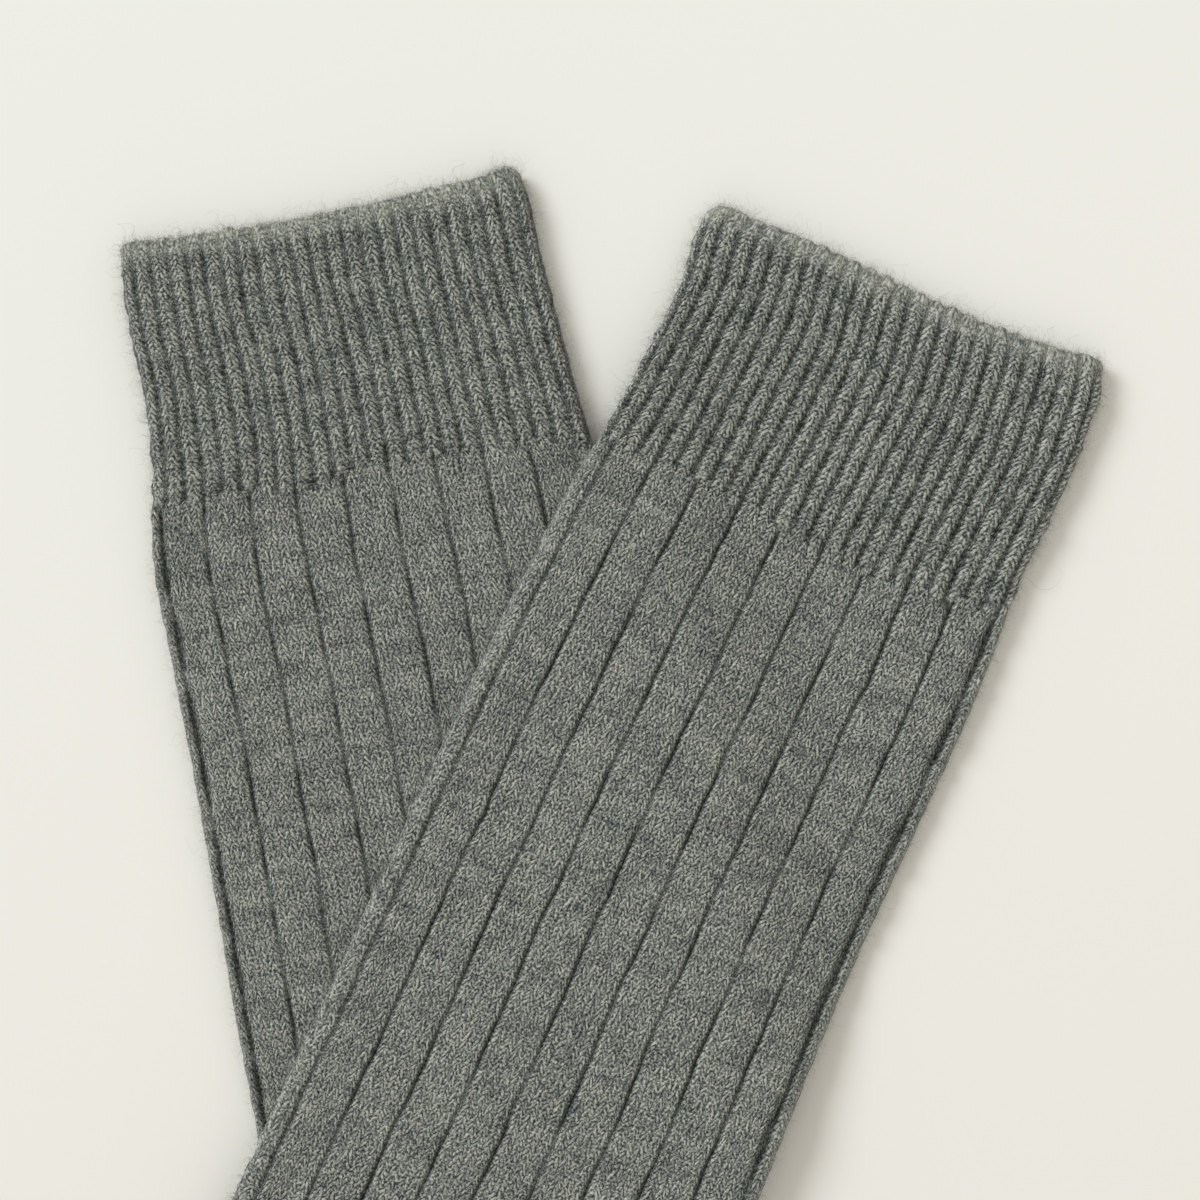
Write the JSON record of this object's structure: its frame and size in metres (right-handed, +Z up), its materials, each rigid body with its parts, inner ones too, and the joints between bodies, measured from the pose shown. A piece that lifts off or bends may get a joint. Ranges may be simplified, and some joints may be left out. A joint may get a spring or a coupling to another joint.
{
  "type": "pair of crew socks",
  "caption": "Crew-length ribbed knit socks, laid flat and crossed over each other, with rib cuffs, wide-rib legs, turned heels and linked toes.",
  "frame": {"origin": "middle of the pair's box in plan, on the surface that the socks lie on", "axes": "+Z up from the surface; +Y towards the cuffs; +X from the upper sock's toes towards the lower sock's toes"},
  "size_m": [0.4618, 0.3734, 0.0093],
  "materials": {
    "wool": "heather grey wool knit, matt and slightly fuzzy"
  },
  "bodies": {
    "root": {"back_sock": "wool", "front_sock": "wool"}
  },
  "joints": []
}
